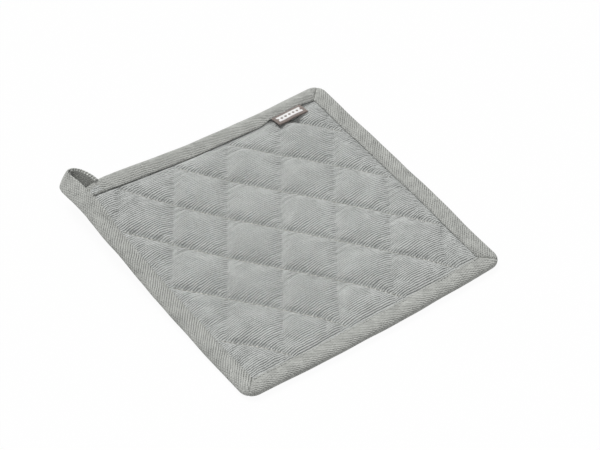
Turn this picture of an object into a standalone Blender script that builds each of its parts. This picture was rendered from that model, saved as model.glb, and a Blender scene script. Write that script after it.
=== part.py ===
"""Quilted square pot holder with a bound edge, a hanging loop at one corner and a small tag.

All sizes are in metres and +Z is up. The square's sides run along X and Y and its middle is
the local origin, under one empty that moves the whole object to its frame. The corner with
the loop is at -X +Y, and it curls up off the table. Every layer takes its height from one
resting surface, so the layers stay nested when a size changes.
"""
import math

import bmesh
import bpy
import numpy as np
from mathutils import Vector

# The square and its binding
SIDE = 0.200
BINDING_WIDTH = 0.012
TAPE_THICKNESS = 0.001
CORNER_RADIUS = 0.009
INNER_CORNER_RADIUS = 0.001
SIDE_STATION_STEP = 0.020
CORNER_STEPS = 5
NOSE_STEPS = 6
NOSE_INNER_STEPS = 4

# The layers, and the gap kept between touching pieces
CLEARANCE = 0.0003
COVER_THICKNESS = 0.0005
WADDING_AT_STITCHES = 0.001
FRONT_PUFF = 0.0036
BACK_PUFF = 0.0016
PUFF_FULLNESS = 0.6
EDGE_RUN = 0.012

# The quilting: rows run towards the right corner, columns towards the far one
ROW_SPACING = 0.0346
COLUMN_SPACING = 0.0361
ROW_ANGLE = math.radians(-50.9)
COLUMN_ANGLE = math.radians(54.6)
ROW_SHIFT = 0.0008
COLUMN_SHIFT = -0.0023
CELL_CUTS = (0.0, 0.14, 0.5, 0.86)

# The resting surface: a low dome, and a corner that curls up
DOME = 0.0025
CORNER_LIFT = 0.0141
LIFT_START = 0.1
LIFT_EASE_START = 0.9
LIFT_EASE_RUN = 0.2
LOOP_CORNER_CUT = 0.003

# The hanging loop: a doubled tape on edge, from the side binding round to the far one
LOOP_THICKNESS = 0.002
LOOP_REACH = 0.0145
LOOP_SPREAD = 0.0205
LOOP_TILT = math.radians(28)
LOOP_ROOT_DEPTH = 0.006
LOOP_END_DEPTH = 0.0012
LOOP_STEPS = 20

# The tag, caught under the far binding
TAG_WIDTH = 0.0235
TAG_REACH = 0.0095
TAG_TUCK = 0.004
TAG_THICKNESS = 0.0005
TAG_FROM_MIDDLE = 0.0637
TAG_LIFT = 0.0003
TAG_SIDE_ROOM = 0.001
TAG_RAMP = 0.004
TAG_COLUMNS = 5
TAG_ROWS = (0.0, 0.1, 0.26, 0.48, 0.74, 1.0)

# What follows from the sizes above
HALF = SIDE / 2
INNER = HALF - BINDING_WIDTH
PAD_HALF_THICKNESS = (2 * COVER_THICKNESS + 2 * CLEARANCE + WADDING_AT_STITCHES) / 2
FOLD_INSIDE = PAD_HALF_THICKNESS + CLEARANCE
FOLD_OUTSIDE = FOLD_INSIDE + TAPE_THICKNESS
PAD_EDGE_INSET = FOLD_OUTSIDE + 0.5 * CLEARANCE
FLAP_MIDDLE = 0.5 * (FOLD_OUTSIDE + BINDING_WIDTH)
TAG_ROOM = TAG_THICKNESS + CLEARANCE


def clear_scene():
    """Remove every object that the file opened with."""
    for item in list(bpy.data.objects):
        bpy.data.objects.remove(item, do_unlink=True)


def cloth_material(name, colour, roughness):
    """A plain Principled material with the piece's own colour."""
    material = bpy.data.materials.new(name)
    material.use_nodes = True
    shader = material.node_tree.nodes["Principled BSDF"]
    shader.inputs["Base Color"].default_value = (*colour, 1.0)
    shader.inputs["Roughness"].default_value = roughness
    shader.inputs["Metallic"].default_value = 0.0
    return material


def lift_at(x, y):
    """Rise of the cloth towards the curled corner, easing off past the corner of the quilting."""
    along = (y - x) / (2 * INNER)
    past = min(max(along - LIFT_EASE_START, 0.0), LIFT_EASE_RUN)
    eased = min(along, LIFT_EASE_START) + past - past * past / (2 * LIFT_EASE_RUN)
    share = max(eased - LIFT_START, 0.0) / (1 - LIFT_START)
    return CORNER_LIFT * share * share


def middle_height(x, y):
    """Height of the middle of the cloth above the table."""
    across = max(1 - (x / INNER) ** 2, 0.0) * max(1 - (y / INNER) ** 2, 0.0)
    return FOLD_OUTSIDE + DOME * across + lift_at(x, y)


def quilt_axes():
    """Unit vectors along a row and along a column of the quilting."""
    row = Vector((math.cos(ROW_ANGLE), math.sin(ROW_ANGLE)))
    column = Vector((math.cos(COLUMN_ANGLE), math.sin(COLUMN_ANGLE)))
    return row, column


def cell_place(x, y):
    """Place of a point in its diamond, as two shares from 0 to 1."""
    row, column = quilt_axes()
    turn = row.x * column.y - row.y * column.x
    along_row = (x * column.y - y * column.x) / turn
    along_column = (row.x * y - row.y * x) / turn
    u = (along_row - COLUMN_SHIFT) / COLUMN_SPACING
    v = (along_column - ROW_SHIFT) / ROW_SPACING
    return u - math.floor(u), v - math.floor(v)


def puff_share(x, y):
    """How full the quilting stands at a point: 0 on a stitch line, 1 in a diamond's middle."""
    inside = INNER - max(abs(x), abs(y))
    if inside <= 0:
        return 0.0
    u, v = cell_place(x, y)
    pillow = abs(math.sin(math.pi * u)) * abs(math.sin(math.pi * v))
    edge = min(inside / EDGE_RUN, 1.0)
    return (pillow * edge) ** PUFF_FULLNESS


def front_top(x, y):
    """Upper face of the front cover."""
    return middle_height(x, y) + PAD_HALF_THICKNESS + FRONT_PUFF * puff_share(x, y)


def back_bottom(x, y):
    """Lower face of the back cover, which lies flat where it meets the table."""
    return max(middle_height(x, y) - PAD_HALF_THICKNESS - BACK_PUFF * puff_share(x, y), 0.0)


def front_underside(x, y):
    """Lower face of the front cover."""
    return front_top(x, y) - COVER_THICKNESS


def back_upside(x, y):
    """Upper face of the back cover."""
    return back_bottom(x, y) + COVER_THICKNESS


def wadding_top(x, y):
    """Upper face of the wadding."""
    return front_underside(x, y) - CLEARANCE


def wadding_bottom(x, y):
    """Lower face of the wadding."""
    return back_upside(x, y) + CLEARANCE


def lattice_lines(spacing, shift):
    """Positions of the lattice lines across the square, a few to each diamond."""
    reach = math.ceil(1.6 * SIDE / spacing)
    return [shift + (cell + cut) * spacing for cell in range(-reach, reach) for cut in CELL_CUTS]


def cut_flat(mesh, point, normal, remove):
    """Cut the flat lattice along a line, and remove what lies beyond it if asked."""
    geometry = mesh.verts[:] + mesh.edges[:] + mesh.faces[:]
    bmesh.ops.bisect_plane(
        mesh, geom=geometry, dist=1e-6, plane_co=Vector(point), plane_no=Vector(normal),
        clear_outer=remove)


def quilt_lattice():
    """Flat triangles that follow the quilting, cut to the pad's outline and the binding's edge."""
    row, column = quilt_axes()
    mesh = bmesh.new()
    across = lattice_lines(COLUMN_SPACING, COLUMN_SHIFT)
    along = lattice_lines(ROW_SPACING, ROW_SHIFT)
    grid = []
    for v in along:
        points = [row * u + column * v for u in across]
        grid.append([mesh.verts.new((point.x, point.y, 0.0)) for point in points])
    for lower, upper in zip(grid, grid[1:]):
        for index in range(len(across) - 1):
            corners = (lower[index], lower[index + 1], upper[index + 1], upper[index])
            if min(max(abs(corner.co.x), abs(corner.co.y)) for corner in corners) < HALF:
                mesh.faces.new(corners)
    loose = [vertex for vertex in mesh.verts if not vertex.link_faces]
    bmesh.ops.delete(mesh, geom=loose, context="VERTS")
    edge = HALF - PAD_EDGE_INSET
    arc = CORNER_RADIUS - PAD_EDGE_INSET
    for x, y in ((1, 0), (-1, 0), (0, 1), (0, -1)):
        cut_flat(mesh, (x * edge, y * edge, 0), (x, y, 0), True)
        cut_flat(mesh, (x * INNER, y * INNER, 0), (x, y, 0), False)
    for x, y in ((1, 1), (1, -1), (-1, -1), (-1, 1)):
        corner = HALF - CORNER_RADIUS + arc / math.sqrt(2)
        if (x, y) == (-1, 1):
            corner = INNER + LOOP_CORNER_CUT / math.sqrt(2)
        cut_flat(mesh, (x * corner, y * corner, 0), (x, y, 0), True)
    bmesh.ops.remove_doubles(mesh, verts=mesh.verts[:], dist=0.0001)
    bmesh.ops.triangulate(mesh, faces=mesh.faces[:])
    mesh.verts.index_update()
    points = [(vertex.co.x, vertex.co.y) for vertex in mesh.verts]
    triangles = []
    for face in mesh.faces:
        ring = [vertex.index for vertex in face.verts]
        triangles.append(ring if face.normal.z > 0 else ring[::-1])
    mesh.free()
    return points, triangles


def add_object(name, material, points, faces, parent):
    """A named, smooth-shaded object from points and faces."""
    mesh = bpy.data.meshes.new(name)
    mesh.from_pydata(points, [], faces)
    mesh.validate()
    mesh.shade_smooth()
    mesh.set_sharp_from_angle(angle=math.radians(50))
    mesh.materials.append(material)
    item = bpy.data.objects.new(name, mesh)
    item.parent = parent
    bpy.context.collection.objects.link(item)
    return item


def closed_sheet(points, triangles, upper, lower):
    """Points and faces of the closed body between two height functions over one flat mesh."""
    count = len(points)
    body = [(x, y, upper(x, y)) for x, y in points] + [(x, y, lower(x, y)) for x, y in points]
    faces = [tuple(face) for face in triangles]
    faces += [tuple(count + index for index in reversed(face)) for face in triangles]
    directed = {(face[i], face[(i + 1) % 3]) for face in triangles for i in range(3)}
    for start, end in sorted(directed):
        if (end, start) not in directed:
            faces.append((end, start, count + start, count + end))
    return body, faces


def fold_section():
    """The binding's section: inset from the outer edge and height from the middle, as a loop."""
    outer = [(BINDING_WIDTH, FOLD_OUTSIDE), (FLAP_MIDDLE, FOLD_OUTSIDE)]
    for step in range(NOSE_STEPS + 1):
        angle = math.pi / 2 + math.pi * step / NOSE_STEPS
        outer.append((FOLD_OUTSIDE * (1 + math.cos(angle)), FOLD_OUTSIDE * math.sin(angle)))
    outer += [(FLAP_MIDDLE, -FOLD_OUTSIDE), (BINDING_WIDTH, -FOLD_OUTSIDE)]
    inner = [(BINDING_WIDTH, -FOLD_INSIDE), (FLAP_MIDDLE, -FOLD_INSIDE)]
    for step in range(NOSE_INNER_STEPS + 1):
        angle = 1.5 * math.pi - math.pi * step / NOSE_INNER_STEPS
        inner.append((FOLD_OUTSIDE + FOLD_INSIDE * math.cos(angle), FOLD_INSIDE * math.sin(angle)))
    inner += [(FLAP_MIDDLE, FOLD_INSIDE), (BINDING_WIDTH, FOLD_INSIDE)]
    return outer + inner


def side_positions(with_tag):
    """Places along one side where the binding's section is set."""
    reach = HALF - 2 * BINDING_WIDTH
    count = math.ceil(2 * reach / SIDE_STATION_STEP)
    places = [-reach + 2 * reach * step / count for step in range(count + 1)]
    if with_tag:
        wide = TAG_WIDTH / 2 + TAG_SIDE_ROOM
        tag_places = [TAG_FROM_MIDDLE + offset
                      for offset in (-wide - TAG_RAMP, -wide, wide, wide + TAG_RAMP)]
        apart = SIDE_STATION_STEP / 4
        places = [place for place in places
                  if place < tag_places[0] - apart or place > tag_places[-1] + apart]
        places = sorted(places + tag_places)
    return places


def tag_rise(along):
    """How much the far binding's top flap is lifted by the tag under it."""
    beyond = abs(along - TAG_FROM_MIDDLE) - TAG_WIDTH / 2 - TAG_SIDE_ROOM
    return TAG_ROOM * (1 - min(max(beyond / TAG_RAMP, 0.0), 1.0))


def corner_point(inset, angle):
    """A point of the rounded first-quadrant corner, at an inset from the outer edge."""
    radius = max(CORNER_RADIUS - inset, INNER_CORNER_RADIUS)
    centre = HALF - inset - radius
    return centre + radius * math.cos(angle), centre + radius * math.sin(angle)


def binding_ring():
    """Points and faces of the folded tape carried round the four sides."""
    section = fold_section()
    points = []
    for quarter in range(4):
        turn = quarter * math.pi / 2
        far_side = quarter == 0
        stations = [("corner", math.pi / 2 * step / CORNER_STEPS)
                    for step in range(CORNER_STEPS + 1)]
        stations += [("side", place) for place in reversed(side_positions(far_side))]
        for kind, value in stations:
            for inset, height in section:
                if kind == "corner":
                    x, y = corner_point(inset, value)
                else:
                    x, y = value, HALF - inset
                rise = 0.0
                if far_side and kind == "side" and height > 0 and inset >= FLAP_MIDDLE:
                    rise = tag_rise(x)
                across = x * math.cos(turn) - y * math.sin(turn)
                along = x * math.sin(turn) + y * math.cos(turn)
                z = middle_height(across, along) + height + rise
                points.append((across, along, z))
    size = len(section)
    total = len(points) // size
    faces = []
    for station in range(total):
        here = station * size
        there = (station + 1) % total * size
        for index in range(size):
            after = (index + 1) % size
            faces.append((here + index, here + after, there + after, there + index))
    return points, faces


def smooth_curve(knots, steps):
    """Points of a smooth curve through the knots."""
    knots = [np.array(knot) for knot in knots]
    ends = [2 * knots[0] - knots[1]] + knots + [2 * knots[-1] - knots[-2]]
    curve = []
    spans = len(knots) - 1
    for step in range(steps + 1):
        place = spans * step / steps
        span = min(int(place), spans - 1)
        t = place - span
        a, b, c, d = ends[span:span + 4]
        curve.append(0.5 * (2 * b + (c - a) * t + (2 * a - 5 * b + 4 * c - d) * t ** 2
                            + (3 * b - a - 3 * c + d) * t ** 3))
    return curve


def loop_edges():
    """Upper and lower edge of the loop's band, from the side binding round to the far one."""
    drop = BINDING_WIDTH * math.sin(LOOP_TILT)
    lean = BINDING_WIDTH * math.cos(LOOP_TILT)
    tip = HALF + LOOP_REACH - LOOP_THICKNESS / 2
    near_x = -HALF + LOOP_THICKNESS / 2
    far_x = near_x + LOOP_SPREAD
    root = HALF - LOOP_ROOT_DEPTH
    top = middle_height(-HALF, HALF) + FOLD_INSIDE
    hang = top - BINDING_WIDTH
    upper = [
        (near_x + lean, root, top),
        (near_x + 0.96 * lean, HALF, top),
        (near_x + 0.94 * lean, 0.4 * HALF + 0.6 * tip, top),
        (0.45 * near_x + 0.55 * far_x, tip, top),
        (0.15 * near_x + 0.85 * far_x, 0.35 * HALF + 0.65 * tip, top),
        (far_x, HALF - LOOP_END_DEPTH, top),
    ]
    lower = [
        (near_x, root, top - drop),
        (near_x, HALF, top - drop),
        (near_x + 0.03 * lean, 0.4 * HALF + 0.6 * tip, top - 1.1 * drop),
        (0.6 * near_x + 0.4 * far_x, tip + 0.0005, 0.5 * (top - drop + hang)),
        (0.15 * near_x + 0.85 * far_x, 0.35 * HALF + 0.65 * tip, hang),
        (far_x, HALF - LOOP_END_DEPTH, hang),
    ]
    return smooth_curve(upper, LOOP_STEPS), smooth_curve(lower, LOOP_STEPS)


def loop_band():
    """Points and faces of the loop: a flat band swept along its two edges."""
    upper, lower = loop_edges()
    middle = [0.5 * (a + b) for a, b in zip(upper, lower)]
    points = []
    for index, (top, bottom) in enumerate(zip(upper, lower)):
        before = middle[max(index - 1, 0)]
        after = middle[min(index + 1, len(middle) - 1)]
        thickness = np.cross(after - before, top - bottom)
        thickness *= LOOP_THICKNESS / 2 / np.linalg.norm(thickness)
        ring = (top + thickness, top - thickness, bottom - thickness, bottom + thickness)
        points += [tuple(float(value) for value in corner) for corner in ring]
    faces = [(3, 2, 1, 0)]
    for index in range(len(upper) - 1):
        here = 4 * index
        for corner in range(4):
            after = (corner + 1) % 4
            faces.append((here + corner, here + after, here + 4 + after, here + 4 + corner))
    last = 4 * (len(upper) - 1)
    faces.append((last, last + 1, last + 2, last + 3))
    return points, faces


def edge_binding(parent, material):
    """The folded tape round the edge, with its end running on as the loop."""
    points, faces = binding_ring()
    binding = add_object("edge_binding", material, points, faces, parent)
    points, faces = loop_band()
    band = add_object("loop_band", material, points, faces, parent)
    band.hide_render = True
    band.display_type = "WIRE"
    join = binding.modifiers.new("join_loop", "BOOLEAN")
    join.operation = "UNION"
    join.solver = "EXACT"
    join.object = band
    return binding


def tag_underside(x, y):
    """Lower face of the tag: flat under the binding, then up and over the quilting."""
    out = max(INNER - y, 0.0)
    rest = middle_height(x, y) + PAD_HALF_THICKNESS + CLEARANCE
    if out == 0:
        return rest
    return rest + TAG_LIFT + FRONT_PUFF * min(out / EDGE_RUN, 1.0) ** PUFF_FULLNESS


def tag_mesh():
    """Flat triangles of the tag, from its tucked edge to its free one."""
    left = TAG_FROM_MIDDLE - TAG_WIDTH / 2
    rows = [INNER + TAG_TUCK] + [INNER - share * TAG_REACH for share in TAG_ROWS]
    points = [(left + TAG_WIDTH * column / TAG_COLUMNS, y)
              for y in rows for column in range(TAG_COLUMNS + 1)]
    triangles = []
    width = TAG_COLUMNS + 1
    for row in range(len(rows) - 1):
        for column in range(TAG_COLUMNS):
            far = row * width + column
            near = far + width
            triangles.append((near, near + 1, far + 1))
            triangles.append((near, far + 1, far))
    return points, triangles


def rest_on_origin(frame, items):
    """Move the frame so that the object stands centred on the world origin."""
    bpy.context.view_layer.update()
    graph = bpy.context.evaluated_depsgraph_get()
    corners = []
    for item in items:
        mesh = item.evaluated_get(graph).to_mesh()
        corners += [item.matrix_world @ vertex.co for vertex in mesh.vertices]
        item.evaluated_get(graph).to_mesh_clear()
    cloud = np.array([tuple(corner) for corner in corners])
    low = cloud.min(axis=0)
    high = cloud.max(axis=0)
    frame.location = (-0.5 * (low[0] + high[0]), -0.5 * (low[1] + high[1]), -low[2])


def main():
    """Build every piece of the pot holder."""
    clear_scene()
    face_cotton = cloth_material("face_cotton", (0.45, 0.465, 0.45), 0.95)
    wadding_felt = cloth_material("wadding_felt", (0.78, 0.76, 0.70), 1.0)
    binding_cotton = cloth_material("binding_cotton", (0.435, 0.445, 0.415), 0.92)
    tag_weave = cloth_material("tag_weave", (0.25, 0.215, 0.185), 0.8)

    frame = bpy.data.objects.new("pot_holder", None)
    bpy.context.collection.objects.link(frame)

    points, triangles = quilt_lattice()
    items = []
    layers = (
        ("front_cover", face_cotton, front_top, front_underside),
        ("wadding", wadding_felt, wadding_top, wadding_bottom),
        ("back_cover", face_cotton, back_upside, back_bottom),
    )
    for name, material, upper, lower in layers:
        body, faces = closed_sheet(points, triangles, upper, lower)
        items.append(add_object(name, material, body, faces, frame))

    items.append(edge_binding(frame, binding_cotton))

    points, triangles = tag_mesh()
    body, faces = closed_sheet(
        points, triangles, lambda x, y: tag_underside(x, y) + TAG_THICKNESS, tag_underside)
    items.append(add_object("label", tag_weave, body, faces, frame))

    rest_on_origin(frame, items)


main()
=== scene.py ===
"""A quilted square pot holder of ribbed cotton, bound with bias tape, lying on a white floor.

Sizes are in metres. The square's sides run along X and Y, and the loop's corner is at -X +Y.
Plan positions are measured from the middle of the square, and become places in the frame
only when a mesh is made.
"""
import math

import bpy
import numpy as np
from mathutils import Matrix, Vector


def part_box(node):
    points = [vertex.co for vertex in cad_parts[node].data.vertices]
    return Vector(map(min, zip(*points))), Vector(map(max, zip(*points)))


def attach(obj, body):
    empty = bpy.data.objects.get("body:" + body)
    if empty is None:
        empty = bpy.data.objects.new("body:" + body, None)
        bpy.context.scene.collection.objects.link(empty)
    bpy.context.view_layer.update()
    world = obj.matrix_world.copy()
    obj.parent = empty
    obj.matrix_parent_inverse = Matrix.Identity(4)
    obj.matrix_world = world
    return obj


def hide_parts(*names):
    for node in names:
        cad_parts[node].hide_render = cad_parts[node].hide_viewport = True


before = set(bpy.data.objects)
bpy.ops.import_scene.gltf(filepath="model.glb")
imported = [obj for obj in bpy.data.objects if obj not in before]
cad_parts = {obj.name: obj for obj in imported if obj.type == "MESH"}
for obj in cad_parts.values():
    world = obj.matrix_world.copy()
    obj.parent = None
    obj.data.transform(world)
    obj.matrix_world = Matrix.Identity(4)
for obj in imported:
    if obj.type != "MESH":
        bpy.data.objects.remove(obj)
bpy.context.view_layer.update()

# The quilted front
# A square of fine-ribbed cotton, stitched through the wadding along two sets of slanting lines.
# The cloth is cut a little large, so between the stitches it stands up in puckered diamonds.
# All the other pieces are sewn to it, so they take their heights from its resting shape.
SIDE = 0.200
BINDING_WIDTH = 0.012
HALF = SIDE / 2
INNER = HALF - BINDING_WIDTH
PAD_HALF_THICKNESS = 0.0013
BINDING_HALF_THICKNESS = 0.0026
DOME = 0.0027
CORNER_LIFT = 0.0146
LIFT_START = 0.1
LIFT_EASE_START = 0.9
LIFT_EASE_RUN = 0.2
LOOP_SIDE_ROLL = 0.0047
ROLL_START = 0.040
ROLL_RUN = 0.050
ROLL_LIMIT = 1.2
CORNER_TUCK = 0.0020
TUCK_SIDE_RUN = 0.002
TUCK_END_RUN = 0.006
NEAR_SIDE_OUT = 0.0010
NEAR_SIDE_BOW = 0.0026
BOW_START = 0.070
BOW_RUN = 0.020
LOOP_SIDE_OUT = 0.0018
LOOP_SIDE_END = 0.085
LOOP_SIDE_RUN = 0.035
RIGHT_CORNER_IN = 0.0012
RIGHT_CORNER_START = (0.06, 0.02)
RIGHT_CORNER_RUN = (0.03, 0.07)
ROW_ANGLE = math.radians(-50.9)
COLUMN_ANGLE = math.radians(54.6)
COLUMN_SPACING = 0.0361
ROW_SPACING = 0.0346
COLUMN_SHIFT = -0.0023
ROW_SHIFT = 0.0008
LATTICE_REACH = 6
LATTICE_STEPS = 26
CLOTH_EDGE = HALF - 0.0045
CLOTH_CORNER = 0.181
CLOTH_THICKNESS = 0.0005
CLOTH_FULLNESS = 0.032
PUFFING_FRAMES = 20
PUFFING_SCALE = 10
ROW_SINK = 0.0013
COLUMN_SINK = 0.0006
STITCH_SINK_WIDTH = 0.0011
SINK_FADE = 0.003
COLUMN_SLACK = 0.0008
COLUMN_SLACK_WIDTH = 0.0040
SLACK_FADE = 0.010
CREVICE_SINK = 0.0003
CREVICE_WIDTH = 0.0015
HELD_EDGE = 0.0012
ROW = np.array([math.cos(ROW_ANGLE), math.sin(ROW_ANGLE)])
COLUMN = np.array([math.cos(COLUMN_ANGLE), math.sin(COLUMN_ANGLE)])
LOW, HIGH = (np.array(corner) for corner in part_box("front_cover"))
MIDDLE = 0.5 * (LOW + HIGH)


def eased(share):
    """A step from 0 to 1 with level ends: 3t^2 - 2t^3 of the share held between 0 and 1."""
    t = np.clip(share, 0.0, 1.0)
    return t * t * (3 - 2 * t)


def resting_height(x, y):
    """Height of the cloth's middle: half the binding, a dome, and a squared rise to the corner.

    Past the inner edge of the loop's side the height falls in proportion to the way outwards,
    and the corner itself is tucked down under the tape that runs on over it.
    """
    across = np.clip(1 - (x / INNER) ** 2, 0, None) * np.clip(1 - (y / INNER) ** 2, 0, None)
    along = (y - x) / (2 * INNER)
    past = np.clip(along - LIFT_EASE_START, 0, LIFT_EASE_RUN)
    share = np.minimum(along, LIFT_EASE_START) + past - past ** 2 / (2 * LIFT_EASE_RUN)
    rise = (np.clip(share - LIFT_START, 0, None) / (1 - LIFT_START)) ** 2
    outside = np.clip((-x - INNER) / BINDING_WIDTH, 0, ROLL_LIMIT)
    roll = LOOP_SIDE_ROLL * outside * eased((y - ROLL_START) / ROLL_RUN)
    tuck = CORNER_TUCK * eased((-x - INNER) / TUCK_SIDE_RUN)
    tuck = tuck * eased((y - INNER + TUCK_SIDE_RUN) / TUCK_END_RUN)
    return BINDING_HALF_THICKNESS + DOME * across + CORNER_LIFT * rise - roll - tuck


def out_of_true(x, y):
    """Plan position with two sides let out, one of them bowed, and the right corner drawn in.

    Hand-guided sewing leaves the square a little out of true. The bow is one less the square of
    the share of the way from the middle, and each change fades in over its own run.
    """
    bow = NEAR_SIDE_OUT + NEAR_SIDE_BOW * np.clip(1 - (x / HALF) ** 2, 0, 1)
    bow = bow * eased((-y - BOW_START) / BOW_RUN)
    drawn = RIGHT_CORNER_IN * eased((-y - RIGHT_CORNER_START[1]) / RIGHT_CORNER_RUN[1])
    drawn = drawn * eased((x - RIGHT_CORNER_START[0]) / RIGHT_CORNER_RUN[0])
    let_out = LOOP_SIDE_OUT * eased((-x - BOW_START) / BOW_RUN)
    let_out = let_out * eased((LOOP_SIDE_END - y) / LOOP_SIDE_RUN)
    return x - drawn - let_out, y - bow


def new_piece(name, points, faces):
    """A shown mesh object at the origin, from plan positions and heights moved into the frame."""
    mesh = bpy.data.meshes.new(name)
    points = np.asarray(points, float)
    x, y = out_of_true(points[:, 0], points[:, 1])
    placed = np.column_stack([x + MIDDLE[0], y + MIDDLE[1], points[:, 2]])
    mesh.from_pydata(placed.tolist(), [], faces if isinstance(faces, list) else faces.tolist())
    mesh.shade_smooth()
    piece = bpy.data.objects.new(name, mesh)
    bpy.context.scene.collection.objects.link(piece)
    return piece


def grid_faces(rows, columns, closed_rows=False, closed_columns=False):
    """Quads of a grid of points, wrapped round in either direction where it is closed."""
    index = np.arange(rows * columns).reshape(rows, columns)
    if closed_rows:
        index = np.vstack([index, index[:1]])
    if closed_columns:
        index = np.hstack([index, index[:, :1]])
    quads = (index[:-1, :-1], index[:-1, 1:], index[1:, 1:], index[1:, :-1])
    return np.stack(quads, -1).reshape(-1, 4)


def quilt_lattice(steps):
    """Plan points on lines parallel to both sets of stitch lines, an equal number to a diamond.

    A point is column number times the column spacing along a row, plus row number times the
    row spacing along a column. Quads that reach past the hidden edge of the cloth are left out.
    """
    number = np.arange(-LATTICE_REACH * steps, LATTICE_REACH * steps + 1)
    across, along = np.meshgrid(number, number)
    plan = (COLUMN_SHIFT + COLUMN_SPACING * across / steps)[..., None] * ROW
    plan = (plan + (ROW_SHIFT + ROW_SPACING * along / steps)[..., None] * COLUMN).reshape(-1, 2)
    inside = (np.abs(plan).max(1) < CLOTH_EDGE) & (np.abs(plan).sum(1) < CLOTH_CORNER)
    quads = grid_faces(len(number), len(number))
    quads = quads[inside[quads].all(1)]
    used, quads = np.unique(quads, return_inverse=True)
    return plan[used], quads.reshape(-1, 4), across.ravel()[used], along.ravel()[used]


def line_distances(across, along, steps):
    """Distances from the nearest row line and the nearest column line, from the lattice numbers."""
    skew = abs(ROW[0] * COLUMN[1] - ROW[1] * COLUMN[0])
    from_column = np.abs((across + steps / 2) % steps - steps / 2) * COLUMN_SPACING / steps
    from_row = np.abs((along + steps / 2) % steps - steps / 2) * ROW_SPACING / steps
    return from_row * skew, from_column * skew


def puffed(plan, quads, held):
    """The flat cloth let out by its fullness and blown up between the points that are held."""
    flat = np.column_stack([plan, np.zeros(len(plan))]) * PUFFING_SCALE
    mesh = bpy.data.meshes.new("puffing_cloth")
    mesh.from_pydata(flat.tolist(), [], quads.tolist())
    cloth = bpy.data.objects.new("puffing_cloth", mesh)
    scene = bpy.context.scene
    scene.collection.objects.link(cloth)
    stitched = cloth.vertex_groups.new(name="stitched")
    stitched.add(np.flatnonzero(held).tolist(), 1.0, "REPLACE")
    modifier = cloth.modifiers.new("puffing", "CLOTH")
    settings = modifier.settings
    settings.quality = 6
    settings.mass = 0.3
    settings.tension_stiffness = 15
    settings.compression_stiffness = 15
    settings.shear_stiffness = 5
    settings.bending_stiffness = 0.5
    settings.tension_damping = 10
    settings.compression_damping = 10
    settings.air_damping = 2
    settings.use_pressure = True
    settings.uniform_pressure_force = 4
    settings.vertex_group_mass = "stitched"
    settings.shrink_min = -CLOTH_FULLNESS
    settings.effector_weights.gravity = 0
    modifier.collision_settings.use_collision = False
    modifier.point_cache.frame_start = 1
    modifier.point_cache.frame_end = PUFFING_FRAMES
    for step in range(1, PUFFING_FRAMES + 1):
        scene.frame_set(step)
    shaped = cloth.evaluated_get(bpy.context.evaluated_depsgraph_get())
    result = np.zeros(len(plan) * 3, np.float32)
    shaped.to_mesh().vertices.foreach_get("co", result)
    shaped.to_mesh_clear()
    bpy.data.objects.remove(cloth, do_unlink=True)
    scene.frame_set(1)
    return result.reshape(-1, 3) / PUFFING_SCALE


plan, lattice_quads, across, along = quilt_lattice(LATTICE_STEPS)
row_gap, column_gap = line_distances(across, along, LATTICE_STEPS)
inwards = INNER - np.abs(plan).max(1)
under_binding = np.abs(plan).max(1) > INNER - HELD_EDGE
on_column = (across % LATTICE_STEPS == 0) & (along % 2 == 0)
on_row = (along % LATTICE_STEPS == 0) & (across % 2 == 0)
relief = puffed(plan, lattice_quads, under_binding | on_column | on_row)
sink = eased(inwards / SINK_FADE) * np.maximum(
    ROW_SINK * np.exp(-(row_gap / STITCH_SINK_WIDTH) ** 2),
    COLUMN_SINK * np.exp(-(column_gap / STITCH_SINK_WIDTH) ** 2))
slack = COLUMN_SLACK * np.exp(-(column_gap / COLUMN_SLACK_WIDTH) ** 2)
slack *= np.sin(np.pi * along / LATTICE_STEPS) ** 2 * eased(inwards / SLACK_FADE)
crevice = CREVICE_SINK * np.exp(-((inwards - HELD_EDGE / 2) / CREVICE_WIDTH) ** 2)
puff = relief[:, 2] + slack - sink - crevice
cloth_rest = resting_height(relief[:, 0], relief[:, 1])
front_height = cloth_rest + PAD_HALF_THICKNESS + puff
front = new_piece(
    "quilted_front", np.column_stack([relief[:, :2], front_height]), lattice_quads)
wall = front.modifiers.new("cloth_thickness", "SOLIDIFY")
wall.thickness = CLOTH_THICKNESS
wall.offset = -1


def maths_in(tree):
    """A function that adds one Math node to the tree and gives back its result."""

    def maths(operation, first, second=None):
        """One Math node, fed by sockets or plain numbers."""
        node = tree.nodes.new("ShaderNodeMath")
        node.operation = operation
        for slot, value in enumerate((first, second)):
            if value is None:
                continue
            if isinstance(value, (int, float)):
                node.inputs[slot].default_value = value
            else:
                tree.links.new(value, node.inputs[slot])
        return node.outputs[0]

    return maths


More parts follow.
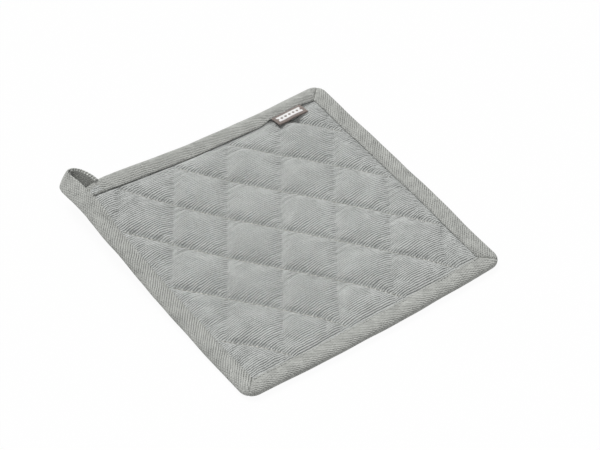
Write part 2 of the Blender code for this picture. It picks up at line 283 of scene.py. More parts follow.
def rib_group():
    """Fine ribs along X: a bent sine across them, beaded along them, with slow and fine flecks."""
    bend_reach = 0.0016
    beads_per_rib = 5.2
    bead_depth = 0.22
    grain_share = 0.55
    cloud_share = 0.35
    group = bpy.data.node_groups.new("fine_rib", "ShaderNodeTree")
    group.interface.new_socket(name="Vector", in_out="INPUT", socket_type="NodeSocketVector")
    group.interface.new_socket(name="Pitch", in_out="INPUT", socket_type="NodeSocketFloat")
    group.interface.new_socket(name="Height", in_out="OUTPUT", socket_type="NodeSocketFloat")
    group.interface.new_socket(name="Fleck", in_out="OUTPUT", socket_type="NodeSocketFloat")
    nodes = group.nodes
    links = group.links
    entry = nodes.new("NodeGroupInput")
    leave = nodes.new("NodeGroupOutput")
    maths = maths_in(group)

    def noise(scale, detail, stretch=(1, 1, 1)):
        """One noise pattern, stretched along the axes."""
        mapping = nodes.new("ShaderNodeMapping")
        mapping.inputs["Scale"].default_value = stretch
        links.new(entry.outputs["Vector"], mapping.inputs["Vector"])
        texture = nodes.new("ShaderNodeTexNoise")
        texture.inputs["Scale"].default_value = scale
        texture.inputs["Detail"].default_value = detail
        links.new(mapping.outputs["Vector"], texture.inputs["Vector"])
        return texture.outputs["Fac"]

    split = nodes.new("ShaderNodeSeparateXYZ")
    links.new(entry.outputs["Vector"], split.inputs["Vector"])
    pitch = entry.outputs["Pitch"]
    bend = maths("MULTIPLY", maths("SUBTRACT", noise(90, 2), 0.5), bend_reach)
    place = maths("DIVIDE", maths("ADD", split.outputs["Y"], bend), pitch)
    sine = maths("SINE", maths("MULTIPLY", place, 2 * math.pi))
    wave = maths("ADD", maths("MULTIPLY", sine, 0.5), 0.5)
    row = maths("MULTIPLY", maths("FLOOR", place), math.pi)
    bead_place = maths("MULTIPLY", maths("DIVIDE", split.outputs["X"], pitch), beads_per_rib)
    bead_sine = maths("SINE", maths("ADD", bead_place, row))
    bead = maths("ADD", maths("MULTIPLY", bead_sine, bead_depth), 1 - bead_depth)
    slub = maths("ADD", maths("MULTIPLY", noise(1500, 2, (0.25, 1, 1)), 0.9), 0.55)
    patch = maths("SUBTRACT", maths("MULTIPLY", noise(170, 2), 2.2), 0.15)
    rib = maths("MULTIPLY", maths("MULTIPLY", maths("MULTIPLY", wave, bead), slub), patch)
    grain = maths("MULTIPLY", noise(1100, 3, (0.6, 1, 1)), grain_share)
    # The height also tints the cloth's colour, as painted shade in the rib hollows.
    links.new(maths("ADD", rib, grain), leave.inputs["Height"])
    cloud = maths("MULTIPLY", noise(45, 3), cloud_share)
    links.new(maths("ADD", cloud, grain), leave.inputs["Fleck"])
    return group


FINE_RIB = rib_group()


def ribbed_cotton(name, hollow, crest, pitch, turn, source, relief_depth):
    """Matt cotton: painted shade in the rib hollows, lighter crests, flecks, and the ribs in the
    bump.
    """
    material = bpy.data.materials.new(name)
    material.use_nodes = True
    nodes = material.node_tree.nodes
    links = material.node_tree.links
    shader = nodes["Principled BSDF"]
    shader.inputs["Roughness"].default_value = 0.93
    shader.inputs["Specular IOR Level"].default_value = 0.25
    shader.inputs["Sheen Weight"].default_value = 0.18
    shader.inputs["Sheen Roughness"].default_value = 0.6
    place = nodes.new("ShaderNodeTexCoord")
    mapping = nodes.new("ShaderNodeMapping")
    mapping.inputs["Rotation"].default_value = (0, 0, turn)
    links.new(place.outputs[source], mapping.inputs["Vector"])
    ribs = nodes.new("ShaderNodeGroup")
    ribs.node_tree = FINE_RIB
    ribs.inputs["Pitch"].default_value = pitch
    links.new(mapping.outputs["Vector"], ribs.inputs["Vector"])
    # Painted shade: a small share of the rib height darkens the hollows and lightens the crests,
    # added to the cloth's random flecks.
    rib_shade_and_fleck = nodes.new("ShaderNodeMath")
    rib_shade_and_fleck.operation = "MULTIPLY_ADD"
    rib_shade_and_fleck.inputs[1].default_value = 0.16
    links.new(ribs.outputs["Height"], rib_shade_and_fleck.inputs[0])
    links.new(ribs.outputs["Fleck"], rib_shade_and_fleck.inputs[2])
    colour = nodes.new("ShaderNodeValToRGB")
    colour.color_ramp.elements[0].position = 0.25
    colour.color_ramp.elements[0].color = (*hollow, 1)
    colour.color_ramp.elements[1].position = 0.87
    colour.color_ramp.elements[1].color = (*crest, 1)
    links.new(rib_shade_and_fleck.outputs[0], colour.inputs["Fac"])
    links.new(colour.outputs["Color"], shader.inputs["Base Color"])
    bump = nodes.new("ShaderNodeBump")
    bump.inputs["Strength"].default_value = 1.0
    bump.inputs["Distance"].default_value = relief_depth
    links.new(ribs.outputs["Height"], bump.inputs["Height"])
    links.new(bump.outputs["Normal"], shader.inputs["Normal"])
    return material


# The ramp's dark end paints shade into the rib hollows, mixed with the cloth's random flecks.
FACE_COTTON = ribbed_cotton(
    "face_cotton_weave", hollow=(0.35, 0.364, 0.35), crest=(0.665, 0.682, 0.665),
    pitch=0.00145, turn=0.0, source="Object", relief_depth=0.0008)
front.data.materials.append(FACE_COTTON)
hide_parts("front_cover")
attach(front, "root")

# The wadding
# One layer of felted fibre, squeezed thin along the stitches, and hidden between the cottons.
WADDING_GAP = 0.00055
BACK_SHARE = 0.42
LEAST_HEIGHT = 0.0002
back_height = cloth_rest - PAD_HALF_THICKNESS - BACK_SHARE * relief[:, 2] + sink
back_height = np.maximum(back_height, LEAST_HEIGHT)
count = len(plan)
top = np.column_stack([relief[:, :2], front_height - WADDING_GAP])
under = np.column_stack([relief[:, :2], back_height + WADDING_GAP])


def rim_quads(quads, count):
    """Quads that close the rim between two copies of an open mesh, the second upside down."""
    sides = np.concatenate([quads[:, [side, (side + 1) % 4]] for side in range(4)])
    ordered = np.sort(sides, axis=1)
    _, first, uses = np.unique(ordered, axis=0, return_index=True, return_counts=True)
    edge = sides[first[uses == 1]]
    return np.column_stack([edge[:, 1], edge[:, 0], edge[:, 0] + count, edge[:, 1] + count])


wadding_quads = np.vstack([
    lattice_quads, lattice_quads[:, ::-1] + count, rim_quads(lattice_quads, count)])
wadding = new_piece("wadding_layer", np.vstack([top, under]), wadding_quads)
# The ramp's dark end paints shade into the rib hollows, mixed with the fibre's random flecks.
WADDING_FELT = ribbed_cotton(
    "wadding_felt_fibre", hollow=(0.70, 0.68, 0.62), crest=(0.84, 0.82, 0.76),
    pitch=0.004, turn=0.6, source="Object", relief_depth=0.0002)
wadding.data.materials.append(WADDING_FELT)
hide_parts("wadding")
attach(wadding, "root")

# The quilted back
# The same cotton underneath, drawn up by the same stitches, and pressed flatter by the table.
# It is cut to the same square as the front, and both are sheets laid on what is under them.
back = new_piece(
    "quilted_back", np.column_stack([relief[:, :2], back_height]), lattice_quads[:, ::-1])
wall = back.modifiers.new("cloth_thickness", "SOLIDIFY")
wall.thickness = CLOTH_THICKNESS
wall.offset = -1
back.data.materials.append(FACE_COTTON)
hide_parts("back_cover")
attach(back, "root")

# The edge binding
# Bias tape folded over the raw edges and sewn down, with a folded mitre at each corner.
# Its ribs run slanting to its length all the way round, because it is cut on the bias.
TAPE_THICKNESS = 0.0010
THICKENING_RUN = 0.004
CORNER_RADIUS = 0.009
LOOP_CORNER_RADIUS = 0.0035
LOOP_CORNER_DRAW = 0.0030
LOOP_DRAW_START = 0.083
LOOP_DRAW_RUN = 0.008
INNER_CORNER_RADIUS = 0.0008
CORNER_STEPS = 24
SIDE_STEP = 0.0016
FLAP_STEPS = 10
NOSE_STEPS = 14
NOSE_REACH = 0.0046
FLAP_PINCH = 0.0008
PINCH_WIDTH = 0.0032
FLAP_EDGE_THICKNESS = 0.0005
MITRE_DEPTH = 0.0009
MITRE_WIDTH = 0.00045
MITRE_FADE = 0.002
TAPE_PULL = 0.00018
OUTLINE_PULL = 0.0003
PULL_RUN = 0.004
TAG_FROM_MIDDLE = 0.0653
TAG_WIDTH = 0.0235
TAG_MARGIN = 0.001
TAG_ROOM = 0.0008
TAG_ROOM_RUN = 0.004
TAG_DRAW = 0.0013
TAG_DRAW_RUN = 0.010


def fold_profile():
    """The fold's closed outline: inset from the edge, height from the middle, and way along it.

    It runs out along the top flap, round the half-ellipse nose, back along the lower flap, and
    returns inside by the tape's thickness. The flap's sewn edge is pinched in by a bell curve.
    """
    flap = np.linspace(BINDING_WIDTH, NOSE_REACH, FLAP_STEPS)
    turn = np.linspace(0.5 * np.pi, 1.5 * np.pi, NOSE_STEPS)[1:-1]
    pinch = FLAP_PINCH * np.exp(-((flap - BINDING_WIDTH) / PINCH_WIDTH) ** 2)
    outer = BINDING_HALF_THICKNESS - pinch
    thicker = TAPE_THICKNESS - FLAP_EDGE_THICKNESS
    thicker = thicker * eased((BINDING_WIDTH - flap) / THICKENING_RUN)
    inner = outer - FLAP_EDGE_THICKNESS - thicker
    crown = BINDING_HALF_THICKNESS
    hollow = crown - TAPE_THICKNESS
    inset = np.concatenate([
        flap, NOSE_REACH * (1 + np.cos(turn)), flap[::-1], flap,
        NOSE_REACH + (NOSE_REACH - TAPE_THICKNESS) * np.cos(turn[::-1]), flap[::-1]])
    height = np.concatenate([
        outer, crown * np.sin(turn), -outer[::-1], -inner,
        hollow * np.sin(turn[::-1]), inner[::-1]])
    step = np.hypot(np.diff(inset, append=inset[0]), np.diff(height, append=height[0]))
    return inset, height, np.concatenate([[0], np.cumsum(step)])


def corner_plan(inset, angle, outer_radius):
    """Plan of the rounded corner at an inset: a quarter circle that shrinks towards the inside."""
    radius = np.maximum(outer_radius - inset, INNER_CORNER_RADIUS)
    centre = HALF - inset - radius
    return centre + radius * np.cos(angle), centre + radius * np.sin(angle)


def tape_wander(run):
    """Small uneven pulls along the tape: three sines of unrelated lengths, from -1 to 1."""
    return (0.5 * np.sin(run / 0.0063) + 0.3 * np.sin(run / 0.0031 + 1.7)
            + 0.2 * np.sin(run / 0.0137 + 0.6))


def near_tag(x, run):
    """A share that is 1 beside the tag and its margin, and fades to 0 over the run past them."""
    return 1 - eased((np.abs(x - TAG_FROM_MIDDLE) - TAG_WIDTH / 2 - TAG_MARGIN) / run)


inset, profile_height, profile_run = fold_profile()
profile_count = len(inset)
angles = np.linspace(0, np.pi / 2, CORNER_STEPS + 1)
reach = HALF - 2 * BINDING_WIDTH
straight = np.linspace(reach, -reach, int(2 * reach / SIDE_STEP) + 1)
middles = np.concatenate([0.5 * (angles[1:] + angles[:-1]), np.full(len(straight) + 1, np.pi)])
station_x = []
station_y = []
station_side = []
for quarter in range(4):
    radius = LOOP_CORNER_RADIUS if quarter == 1 else CORNER_RADIUS
    corner_x, corner_y = corner_plan(inset[None, :], angles[:, None], radius)
    x = np.vstack([corner_x, np.repeat(straight[:, None], profile_count, axis=1)])
    y = np.vstack([corner_y, np.repeat((HALF - inset)[None, :], len(straight), axis=0)])
    turn = quarter * np.pi / 2
    station_x.append(x * math.cos(turn) - y * math.sin(turn))
    station_y.append(x * math.sin(turn) + y * math.cos(turn))
    station_side.append(np.where(middles[:len(x)] < np.pi / 4, (quarter - 1) % 4, quarter))
ring_x = np.vstack(station_x)
ring_y = np.vstack(station_y)
ring_side = np.concatenate(station_side)
run = np.arctan2(ring_y, ring_x) * 4 * SIDE / (2 * np.pi)
upper = np.broadcast_to(profile_height > 0, ring_x.shape)
diagonal = np.abs(np.abs(ring_x) - np.abs(ring_y)) / math.sqrt(2)
in_corner = eased((np.minimum(np.abs(ring_x), np.abs(ring_y)) - INNER + MITRE_FADE) / MITRE_FADE)
mitre = MITRE_DEPTH * np.exp(-(diagonal / MITRE_WIDTH) ** 2) * in_corner
far_flap = upper * (ring_y > 0)
tag_rise = TAG_ROOM * near_tag(ring_x, TAG_ROOM_RUN) * far_flap
tag_rise *= eased((inset - BINDING_HALF_THICKNESS) / 0.003)
tag_draw = TAG_DRAW * near_tag(ring_x, TAG_DRAW_RUN) * far_flap
ring_y = ring_y + tag_draw * eased((inset - 0.005) / 0.006)
pull = TAPE_PULL * tape_wander(run) * eased((inset - 0.001) / PULL_RUN)
outline_pull = OUTLINE_PULL * tape_wander(run * 0.55 + 0.03)
scale = np.abs(profile_height) / BINDING_HALF_THICKNESS
ring_z = (resting_height(ring_x, ring_y) + profile_height
          + tag_rise + pull * upper - np.sign(profile_height) * mitre * scale)
beyond = np.clip((-ring_x - INNER) / BINDING_WIDTH, 0, 1)
ring_x = ring_x + LOOP_CORNER_DRAW * beyond * eased((ring_y - LOOP_DRAW_START) / LOOP_DRAW_RUN)
ring_x = ring_x * (1 + outline_pull / HALF)
ring_y = ring_y * (1 + outline_pull / HALF)
ring = np.stack([ring_x, ring_y, ring_z], -1).reshape(-1, 3)
ring_faces = grid_faces(len(ring_x), profile_count, closed_rows=True, closed_columns=True)
binding = new_piece("bias_binding", ring, ring_faces)


def lay_tape(piece, faces, columns, sides, ways):
    """Lays a UV map along the tape in metres: way along its side, and way round its section.

    Each side is turned back to the first one, so the way along it is half a side minus x.
    """
    layer = piece.data.uv_layers.new(name="tape")
    side = np.repeat(sides, columns)
    turned = side * np.pi / 2
    corner = np.asarray(faces)
    points = ring[corner]
    back_x = points[..., 0] * np.cos(turned)[:, None] + points[..., 1] * np.sin(turned)[:, None]
    along_side = side[:, None] * SIDE + HALF - back_x
    profile_index = corner % columns
    wrapped = (profile_index == 0) & (profile_index.max(1, keepdims=True) == columns - 1)
    across_tape = ways[np.where(wrapped, columns, profile_index)]
    layer.data.foreach_set("uv", np.stack([along_side, across_tape], -1).astype(np.float32).ravel())


lay_tape(binding, ring_faces, profile_count, ring_side, profile_run)
# The ramp's dark end paints shade into the rib hollows, mixed with the tape's random flecks.
BINDING_COTTON = ribbed_cotton(
    "binding_cotton_weave", hollow=(0.34, 0.349, 0.329), crest=(0.65, 0.66, 0.622),
    pitch=0.00145, turn=math.radians(-41), source="UV", relief_depth=0.0008)
binding.data.materials.append(BINDING_COTTON)
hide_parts("edge_binding")
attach(binding, "root")

# The hanging loop
# The end of the same tape, folded shut and rounded, which lies on the rolled side as one with
# it, runs straight on past the corner, turns over on its edge and goes in under the far binding.
LOOP_STEPS = 110
LOOP_THICKNESS = 0.0025
LOOP_CROWN = 0.0009
LOOP_START = (0.056, 0.064, 0.072, 0.080)
LOOP_START_LIFT = (-0.0010, -0.0005, 0.0001, 0.0002)
LOOP_START_INSET = (0.0040, 0.0022, 0.0006, 0.0000)
LOOP_TOP = [
    (-0.0886, 0.0880, 0.0182), (-0.0887, 0.0960, 0.0183), (-0.0889, 0.1035, 0.0184),
    (-0.0899, 0.1095, 0.0186), (-0.0908, 0.1140, 0.0189), (-0.0893, 0.1163, 0.0193),
    (-0.0860, 0.1156, 0.0195), (-0.0828, 0.1122, 0.0195), (-0.0804, 0.1076, 0.0193),
    (-0.0789, 0.1030, 0.0190), (-0.0780, 0.0984, 0.0184)]
LOOP_BOTTOM = [
    (-0.1000, 0.0880, 0.0130), (-0.1001, 0.0960, 0.0130), (-0.1004, 0.1030, 0.0128),
    (-0.1003, 0.1085, 0.0122), (-0.0985, 0.1130, 0.0112), (-0.0945, 0.1160, 0.0098),
    (-0.0895, 0.1158, 0.0086), (-0.0852, 0.1126, 0.0078), (-0.0822, 0.1080, 0.0074),
    (-0.0802, 0.1032, 0.0074), (-0.0788, 0.0984, 0.0080)]


def smooth_path(knots, steps):
    """A smooth curve through the knots, by cubic pieces whose slopes join neighbouring knots."""
    knots = np.array(knots)
    knots = np.vstack([2 * knots[0] - knots[1], knots, 2 * knots[-1] - knots[-2]])
    place = np.linspace(0, len(knots) - 3, steps)
    span = np.minimum(place.astype(int), len(knots) - 4)
    t = (place - span)[:, None]
    a, b, c, d = (knots[span + shift] for shift in range(4))
    return 0.5 * (2 * b + (c - a) * t + (2 * a - 5 * b + 4 * c - d) * t ** 2
                  + (3 * b - a - 3 * c + d) * t ** 3)


def doubled_section():
    """A rounded strip's outline: share of the half-width, share of the depth, and outer crown.

    Both edges have a notch where the two folded layers part. Depth runs from 0 outside to 1
    inside, and the crown falls off as the square root of one less the share squared.
    """
    side = np.linspace(0.93, -0.93, 13)
    upper_edge = [(0.97, 0.96), (1.0, 0.80), (0.97, 0.66), (0.74, 0.56), (0.74, 0.44),
                  (0.97, 0.34), (1.0, 0.20), (0.97, 0.04)]
    face = [(share, 0.0) for share in side]
    lower_edge = [(-share, 1 - deep) for share, deep in upper_edge]
    other = [(-share, 1.0) for share in side]
    outline = np.array(upper_edge + face + lower_edge + other)
    crown = np.where(outline[:, 1] < 0.3, np.sqrt(np.clip(1 - outline[:, 0] ** 2, 0, 1)), 0)
    return outline, crown


def start_knots(x, above, inset_share):
    """Knots that lie on the rolled side of the binding, rising out of it bit by bit."""
    return [(x + inset_share * inset, y, float(resting_height(x, y)) + above + lift)
            for y, lift, inset in zip(LOOP_START, LOOP_START_LIFT, LOOP_START_INSET)]


top_start = start_knots(x=-INNER - 0.0006, above=0.0020, inset_share=-0.3)
low_start = start_knots(x=-HALF, above=0.0004, inset_share=1.0)
loop_top = smooth_path(top_start + LOOP_TOP, LOOP_STEPS)
loop_low = smooth_path(low_start + LOOP_BOTTOM, LOOP_STEPS)
loop_middle = 0.5 * (loop_top + loop_low)
half_width = 0.5 * (loop_top - loop_low)
forward = np.gradient(loop_middle, axis=0)
face_in = np.cross(forward, half_width)
face_in /= np.linalg.norm(face_in, axis=1, keepdims=True)
section, section_crown = doubled_section()
depth = section[:, 1] * LOOP_THICKNESS - section_crown * LOOP_CROWN
loop_points = (loop_middle[:, None] + section[None, :, :1] * half_width[:, None]
               + depth[None, :, None] * face_in[:, None])
section_count = len(section)
loop_faces = grid_faces(LOOP_STEPS, section_count, closed_columns=True)[:, ::-1]
loop_caps = [list(range(section_count)),
             list(range((LOOP_STEPS - 1) * section_count, LOOP_STEPS * section_count))[::-1]]
loop = new_piece("hanging_loop", loop_points.reshape(-1, 3), loop_faces.tolist() + loop_caps)
loop_uv = loop.data.uv_layers.new(name="tape")
loop_run = np.concatenate([[0], np.cumsum(np.linalg.norm(np.diff(loop_middle, axis=0), axis=1))])
section_run = (1 - section[:, 0]) * BINDING_WIDTH / 2
corner_index = np.concatenate([loop_faces.ravel(), loop_caps[0], loop_caps[1]])
loop_map = np.column_stack([
    SIDE + HALF - LOOP_START[0] - loop_run[corner_index // section_count],
    section_run[corner_index % section_count]])
loop_uv.data.foreach_set("uv", loop_map.astype(np.float32).ravel())
loop.data.materials.append(BINDING_COTTON)
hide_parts("edge_binding")
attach(loop, "root")

# The tag
# A short woven ribbon folded double and caught under the far binding. It bears a plain pale
# field with a row of small diamonds.
TAG_REACH = 0.0095
TAG_TUCK = 0.004
TAG_THICKNESS = 0.0011
TAG_LIFT = 0.0021
TAG_LIFT_POWER = 0.6
TAG_WAVE = 0.0003
TAG_CLEARANCE = 0.0001
TAG_COLUMNS = 24
TAG_ROWS = 20
MOTIF_PITCH = 0.0031
MOTIF_HALF = 0.0011
FIELD_HALF_WIDTH = 0.0095
FIELD_HALF_HEIGHT = 0.0026
FIELD_PLACE = 0.46
tag_u = np.linspace(-0.5, 0.5, TAG_COLUMNS)
tag_v = np.linspace(-TAG_TUCK, TAG_REACH, TAG_ROWS)
across_tag, out = np.meshgrid(tag_u, tag_v)
tag_x = TAG_FROM_MIDDLE + TAG_WIDTH * across_tag
tag_y = INNER + TAG_DRAW - out
free = np.clip(out / TAG_REACH, 0, 1)
tag_z = (resting_height(tag_x, tag_y) + PAD_HALF_THICKNESS + TAG_CLEARANCE
         + TAG_LIFT * free ** TAG_LIFT_POWER + TAG_WAVE * free * np.sin(9 * across_tag + 1))
tag = new_piece(
    "woven_tag", np.stack([tag_x, tag_y, tag_z], -1).reshape(-1, 3),
    grid_faces(TAG_ROWS, TAG_COLUMNS)[:, ::-1])
wall = tag.modifiers.new("ribbon_thickness", "SOLIDIFY")
wall.thickness = TAG_THICKNESS
wall.offset = 1
round_edge = tag.modifiers.new("folded_edge", "BEVEL")
round_edge.width = 0.0003
round_edge.segments = 2


def woven_ribbon():
    """Taupe ribbon whose pale field holds a row of taupe diamonds.

    The field is where both distances from its middle are short enough. A diamond is where the
    distances from its middle along and across the ribbon add up to less than its half-width.
    """
    # The ramp's dark end paints shade into the rib hollows, mixed with the ribbon's random flecks.
    material = ribbed_cotton(
        "taupe_ribbon_weave", hollow=(0.13, 0.105, 0.095), crest=(0.33, 0.28, 0.255),
        pitch=0.0006, turn=0.0, source="Object", relief_depth=0.0001)
    nodes = material.node_tree.nodes
    links = material.node_tree.links
    maths = maths_in(material.node_tree)
    shader = nodes["Principled BSDF"]
    weave = shader.inputs["Base Color"].links[0].from_socket
    place = nodes.new("ShaderNodeTexCoord")
    split = nodes.new("ShaderNodeSeparateXYZ")
    links.new(place.outputs["Object"], split.inputs["Vector"])
    middle_x = float(MIDDLE[0]) + TAG_FROM_MIDDLE
    middle_y = float(MIDDLE[1]) + INNER + TAG_DRAW - FIELD_PLACE * TAG_REACH
    along_x = maths("SUBTRACT", split.outputs["X"], middle_x)
    from_y = maths("ABSOLUTE", maths("SUBTRACT", split.outputs["Y"], middle_y))
    in_width = maths("LESS_THAN", maths("ABSOLUTE", along_x), FIELD_HALF_WIDTH)
    field = maths("MULTIPLY", in_width, maths("LESS_THAN", from_y, FIELD_HALF_HEIGHT))
    turn = maths("FRACT", maths("ADD", maths("DIVIDE", along_x, MOTIF_PITCH), 50.5))
    from_x = maths("MULTIPLY", maths("ABSOLUTE", maths("SUBTRACT", turn, 0.5)), MOTIF_PITCH)
    around = maths("GREATER_THAN", maths("ADD", from_x, from_y), MOTIF_HALF)
    mix = nodes.new("ShaderNodeMix")
    mix.data_type = "RGBA"
    mix.inputs["B"].default_value = (0.80, 0.79, 0.78, 1)
    links.new(weave, mix.inputs["A"])
    links.new(maths("MULTIPLY", field, around), mix.inputs["Factor"])
    links.new(mix.outputs["Result"], shader.inputs["Base Color"])
    return material


tag.data.materials.append(woven_ribbon())
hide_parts("label")
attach(tag, "root")

# The threads
# Pale sewing thread: one run of stitches along each quilting line, front and back, and a row
# close to the binding's inner edge.
THREAD_RADIUS = 0.00020
QUILT_STITCH = 0.0023
QUILT_STITCH_PITCH = 0.0030
EDGE_STITCH = 0.0019
EDGE_STITCH_PITCH = 0.0026
EDGE_STITCH_START = 0.001
EDGE_STITCH_INSET = BINDING_WIDTH - 0.0011
LINE_REACH = 0.16
QUILT_THREAD_RISE = 0.0001
EDGE_THREAD_RISE = 0.00005
THREAD_SIDES = 6


def stitch_bar():
    """One stitch of unit half-length along X: rings of a tube that closes to both ends."""
    rings = np.array([(-1.0, 0.15), (-0.85, 0.8), (0.0, 1.0), (0.85, 0.8), (1.0, 0.15)])
    turn = np.arange(THREAD_SIDES) * 2 * np.pi / THREAD_SIDES
    points = np.stack([
        np.repeat(rings[:, :1], THREAD_SIDES, axis=1),
        rings[:, 1:] * np.cos(turn),
        rings[:, 1:] * np.sin(turn)], -1).reshape(-1, 3)
    faces = grid_faces(len(rings), THREAD_SIDES, closed_columns=True)
    index = np.arange(len(points))
    return points, faces, [index[:THREAD_SIDES], index[::-1][:THREAD_SIDES]]


def sew(name, starts, ends):
    """A thread piece: the stitch bar carried to each pair of ends, on three square directions."""
    middle = 0.5 * (starts + ends)
    along_x = ends - starts
    length = np.linalg.norm(along_x, axis=1, keepdims=True)
    along_x = along_x / length
    along_z = np.tile([0.0, 0.0, 1.0], (len(middle), 1))
    along_y = np.cross(along_z, along_x)
    along_y /= np.linalg.norm(along_y, axis=1, keepdims=True)
    along_z = np.cross(along_x, along_y)
    bar, faces, caps = stitch_bar()
    points = (middle[:, None]
              + bar[None, :, :1] * 0.5 * length[:, None] * along_x[:, None]
              + bar[None, :, 1:2] * THREAD_RADIUS * along_y[:, None]
              + bar[None, :, 2:] * THREAD_RADIUS * along_z[:, None]).reshape(-1, 3)
    shift = np.arange(len(middle)) * len(bar)
    quads = (faces[None] + shift[:, None, None]).reshape(-1, 4).tolist()
    for cap in caps:
        quads += (cap[None] + shift[:, None]).tolist()
    return new_piece(name, points, quads)


def quilting_stitches(side):
    """Ends of every stitch that lies inside the binding, along both sets of lines.

    A line starts from its number times the spacing along the other axis, and the stitches
    follow one another along its own axis at their pitch.
    """
    place = np.arange(-LINE_REACH, LINE_REACH, QUILT_STITCH_PITCH)
    starts = []
    ends = []
    for axis, spacing, shift, other in (
            (COLUMN, COLUMN_SPACING, COLUMN_SHIFT, ROW),
            (ROW, ROW_SPACING, ROW_SHIFT, COLUMN)):
        for line in range(-LATTICE_REACH, LATTICE_REACH + 1):
            begin = (shift + line * spacing) * other + place[:, None] * axis
            finish = begin + QUILT_STITCH * axis
            kept = np.maximum(np.abs(begin).max(1), np.abs(finish).max(1)) < INNER - 0.001
            starts.append(begin[kept])
            ends.append(finish[kept])
    starts = np.vstack(starts)
    ends = np.vstack(ends)
    level = side * (PAD_HALF_THICKNESS - COLUMN_SINK + QUILT_THREAD_RISE)
    return (np.column_stack([starts, resting_height(*starts.T) + level]),
            np.column_stack([ends, resting_height(*ends.T) + level]))


def edge_stitches():
    """Ends of the stitches along the four sides of the binding's upper flap.

    One side's stitches are turned by quarter turns. Beside the tag they rise and are drawn
    outwards with the flap.
    """
    line = HALF - EDGE_STITCH_INSET
    place = np.arange(-line + EDGE_STITCH_START, line - EDGE_STITCH, EDGE_STITCH_PITCH)
    starts = []
    ends = []
    for cosine, sine in ((1, 0), (0, 1), (-1, 0), (0, -1)):
        for store, x in ((starts, place), (ends, place + EDGE_STITCH)):
            y = np.full_like(x, line)
            store.append(np.column_stack([x * cosine - y * sine, x * sine + y * cosine]))
    starts = np.vstack(starts)
    ends = np.vstack(ends)
    pinch = FLAP_PINCH * math.exp(-((EDGE_STITCH_INSET - BINDING_WIDTH) / PINCH_WIDTH) ** 2)
    level = BINDING_HALF_THICKNESS - pinch + EDGE_THREAD_RISE
    middle_x = 0.5 * (starts + ends)[:, 0]
    far_side = starts[:, 1] > INNER - 0.002
    rise = TAG_ROOM * near_tag(middle_x, TAG_ROOM_RUN) * far_side
    drawn = TAG_DRAW * near_tag(middle_x, TAG_DRAW_RUN) * far_side
    starts[:, 1] += drawn
    ends[:, 1] += drawn
    return (np.column_stack([starts, resting_height(*starts.T) + level + rise]),
            np.column_stack([ends, resting_height(*ends.T) + level + rise]))


# The ramp's dark end paints shade into the rib hollows, mixed with the thread's random flecks.
THREAD_COTTON = ribbed_cotton(
    "thread_cotton", hollow=(0.38, 0.39, 0.37), crest=(0.56, 0.57, 0.55),
    pitch=0.0003, turn=0.5, source="Object", relief_depth=0.00005)
for name, (starts, ends) in (
        ("quilting_thread_front", quilting_stitches(1)),
        ("quilting_thread_back", quilting_stitches(-1)),
        ("binding_thread", edge_stitches())):
    thread = sew(name, starts, ends)
    thread.data.materials.append(THREAD_COTTON)
    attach(thread, "root")

# The studio
# A white floor, a soft high lamp from behind the pot holder, and a long lens from the front left.
# The floor glows to the camera alone, so it looks white without more light on the cloth.
FLOOR_REACH = 4.0
FLOOR_GLOW = 0.95
floor_mesh = bpy.data.meshes.new("floor")
floor_mesh.from_pydata(
    [(-FLOOR_REACH, -FLOOR_REACH, 0), (FLOOR_REACH, -FLOOR_REACH, 0),
     (FLOOR_REACH, FLOOR_REACH, 0), (-FLOOR_REACH, FLOOR_REACH, 0)], [], [(0, 1, 2, 3)])
floor = bpy.data.objects.new("floor", floor_mesh)
bpy.context.scene.collection.objects.link(floor)
paper = bpy.data.materials.new("white_paper")
paper.use_nodes = True
paper_nodes = paper.node_tree.nodes
paper_links = paper.node_tree.links
paper_nodes["Principled BSDF"].inputs["Base Color"].default_value = (0.86, 0.86, 0.86, 1)
paper_nodes["Principled BSDF"].inputs["Roughness"].default_value = 1.0
glow = paper_nodes.new("ShaderNodeEmission")
glow.inputs["Color"].default_value = (1, 1, 1, 1)
glow.inputs["Strength"].default_value = 1.0
seen = paper_nodes.new("ShaderNodeLightPath")
share = paper_nodes.new("ShaderNodeMath")
share.operation = "MULTIPLY"
share.inputs[1].default_value = FLOOR_GLOW
mix = paper_nodes.new("ShaderNodeMixShader")
paper_links.new(seen.outputs["Is Camera Ray"], share.inputs[0])
paper_links.new(share.outputs[0], mix.inputs["Fac"])
paper_links.new(paper_nodes["Principled BSDF"].outputs["BSDF"], mix.inputs[1])
paper_links.new(glow.outputs["Emission"], mix.inputs[2])
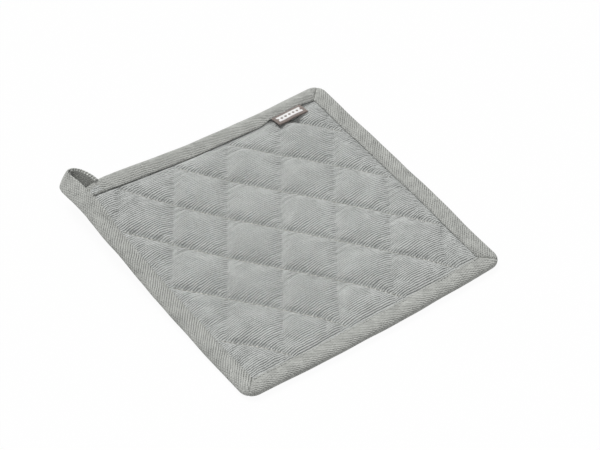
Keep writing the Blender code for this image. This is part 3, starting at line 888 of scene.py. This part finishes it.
paper_links.new(mix.outputs["Shader"], paper_nodes["Material Output"].inputs["Surface"])
floor_mesh.materials.append(paper)

world = bpy.data.worlds.new("soft_room")
bpy.context.scene.world = world
world.use_nodes = True
world.node_tree.nodes["Background"].inputs["Color"].default_value = (1, 1, 1, 1)
world.node_tree.nodes["Background"].inputs["Strength"].default_value = 0.47

lamp_data = bpy.data.lights.new("high_softbox", "SUN")
lamp_data.energy = 2.45
lamp_data.angle = math.radians(25)
lamp = bpy.data.objects.new("high_softbox", lamp_data)
lamp.rotation_euler = (math.radians(44), 0, math.radians(177))
bpy.context.scene.collection.objects.link(lamp)

CAMERA_AZIMUTH = math.radians(-36.65)
CAMERA_ELEVATION = math.radians(45.87)
CAMERA_ROLL = math.radians(0.62)
CAMERA_DISTANCE = 2.221
CAMERA_LENS = 206.9
AIM = np.array([0.0114, -0.0007, 0.0049]) + (MIDDLE[0], MIDDLE[1], 0)
back_way = np.array([
    math.sin(CAMERA_AZIMUTH) * math.cos(CAMERA_ELEVATION),
    -math.cos(CAMERA_AZIMUTH) * math.cos(CAMERA_ELEVATION),
    math.sin(CAMERA_ELEVATION)])
level = np.array([math.cos(CAMERA_AZIMUTH), math.sin(CAMERA_AZIMUTH), 0.0])
upright = np.cross(back_way, level)
right_way = math.cos(CAMERA_ROLL) * level + math.sin(CAMERA_ROLL) * upright
up_way = -math.sin(CAMERA_ROLL) * level + math.cos(CAMERA_ROLL) * upright
camera_data = bpy.data.cameras.new("camera")
camera_data.lens = CAMERA_LENS
camera_data.clip_end = 20
camera = bpy.data.objects.new("camera", camera_data)
bpy.context.scene.collection.objects.link(camera)
place = AIM + back_way * CAMERA_DISTANCE
camera.matrix_world = Matrix([
    (right_way[0], up_way[0], back_way[0], place[0]),
    (right_way[1], up_way[1], back_way[1], place[1]),
    (right_way[2], up_way[2], back_way[2], place[2]),
    (0, 0, 0, 1)])
bpy.context.scene.camera = camera
bpy.context.scene.view_settings.view_transform = "Standard"

bpy.context.view_layer.update()
